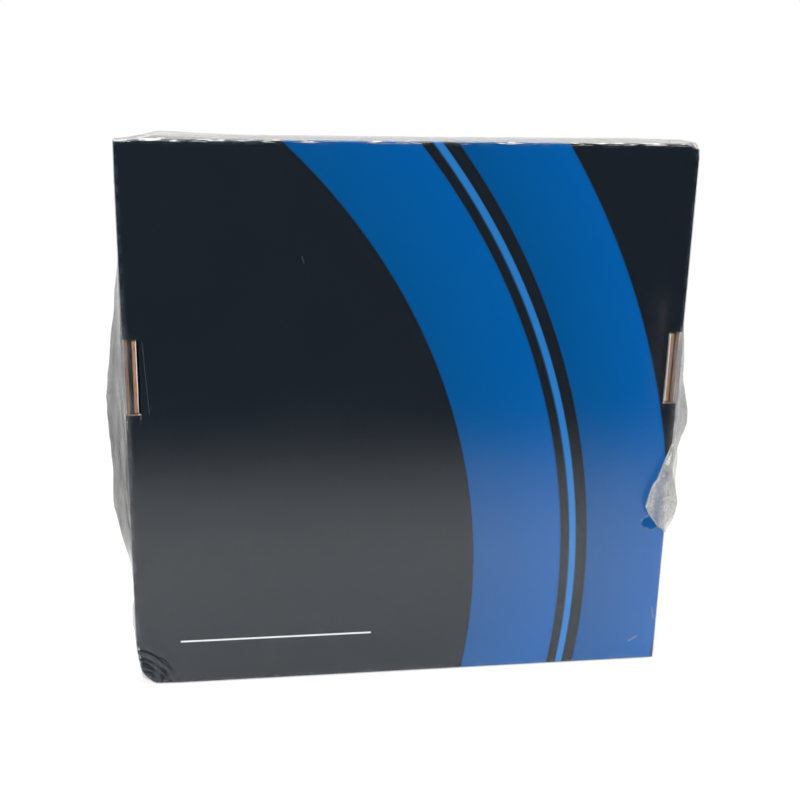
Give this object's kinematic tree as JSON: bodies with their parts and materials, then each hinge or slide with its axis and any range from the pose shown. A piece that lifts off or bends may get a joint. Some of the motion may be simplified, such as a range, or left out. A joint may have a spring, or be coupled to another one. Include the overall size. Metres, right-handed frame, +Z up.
{
  "type": "film-wrapped doctor blade carton",
  "caption": "Square flat carton of coiled printing doctor blade, folded from corrugated board with lock tabs at its side folds and sealed in loose clear film.",
  "frame": {"origin": "on the floor under the middle of the standing carton", "axes": "+Z up, -Y out of the printed front panel, +X to the right seen from the front"},
  "size_m": [0.335, 0.053, 0.311],
  "materials": {
    "printed_board": "corrugated board with a gloss dark print outside and brown kraft inside",
    "blade_steel": "bright cold-rolled strip",
    "clear_film": "clear glossy polyethylene film"
  },
  "bodies": {
    "root": {"carton": "printed_board", "blade_coil": "blade_steel", "film_wrap": "clear_film"}
  },
  "joints": []
}
